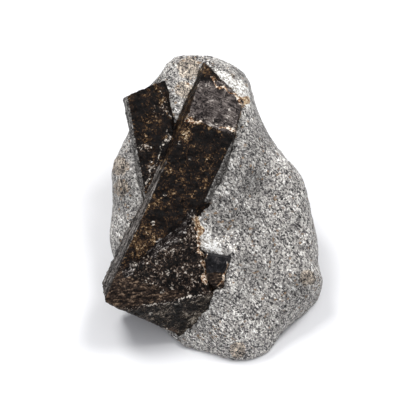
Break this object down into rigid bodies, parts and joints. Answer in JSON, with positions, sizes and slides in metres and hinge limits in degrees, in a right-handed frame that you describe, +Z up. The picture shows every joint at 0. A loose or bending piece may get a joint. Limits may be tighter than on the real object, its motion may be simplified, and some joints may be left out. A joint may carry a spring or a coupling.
{
  "type": "staurolite cross specimen",
  "caption": "Hand specimen of mica schist with two crossed brown-black staurolite crystals standing out of its sloping side.",
  "frame": {"origin": "bottom centre of the specimen's box, on the surface it rests on", "axes": "+Z up, -Y towards the low end of the sloping side that shows the crystals, +X to that side's right"},
  "size_m": [0.0446, 0.0559, 0.0333],
  "materials": {
    "mica_schist": "fine-grained, matt with glints of mica",
    "staurolite": "half-dull, rough crystal faces with a resinous gloss",
    "dark_staurolite": "smooth and glossy crystal face"
  },
  "bodies": {
    "root": {"schist_matrix": "mica_schist", "staurolite_twin": "staurolite", "small_staurolite": "dark_staurolite"}
  },
  "joints": []
}
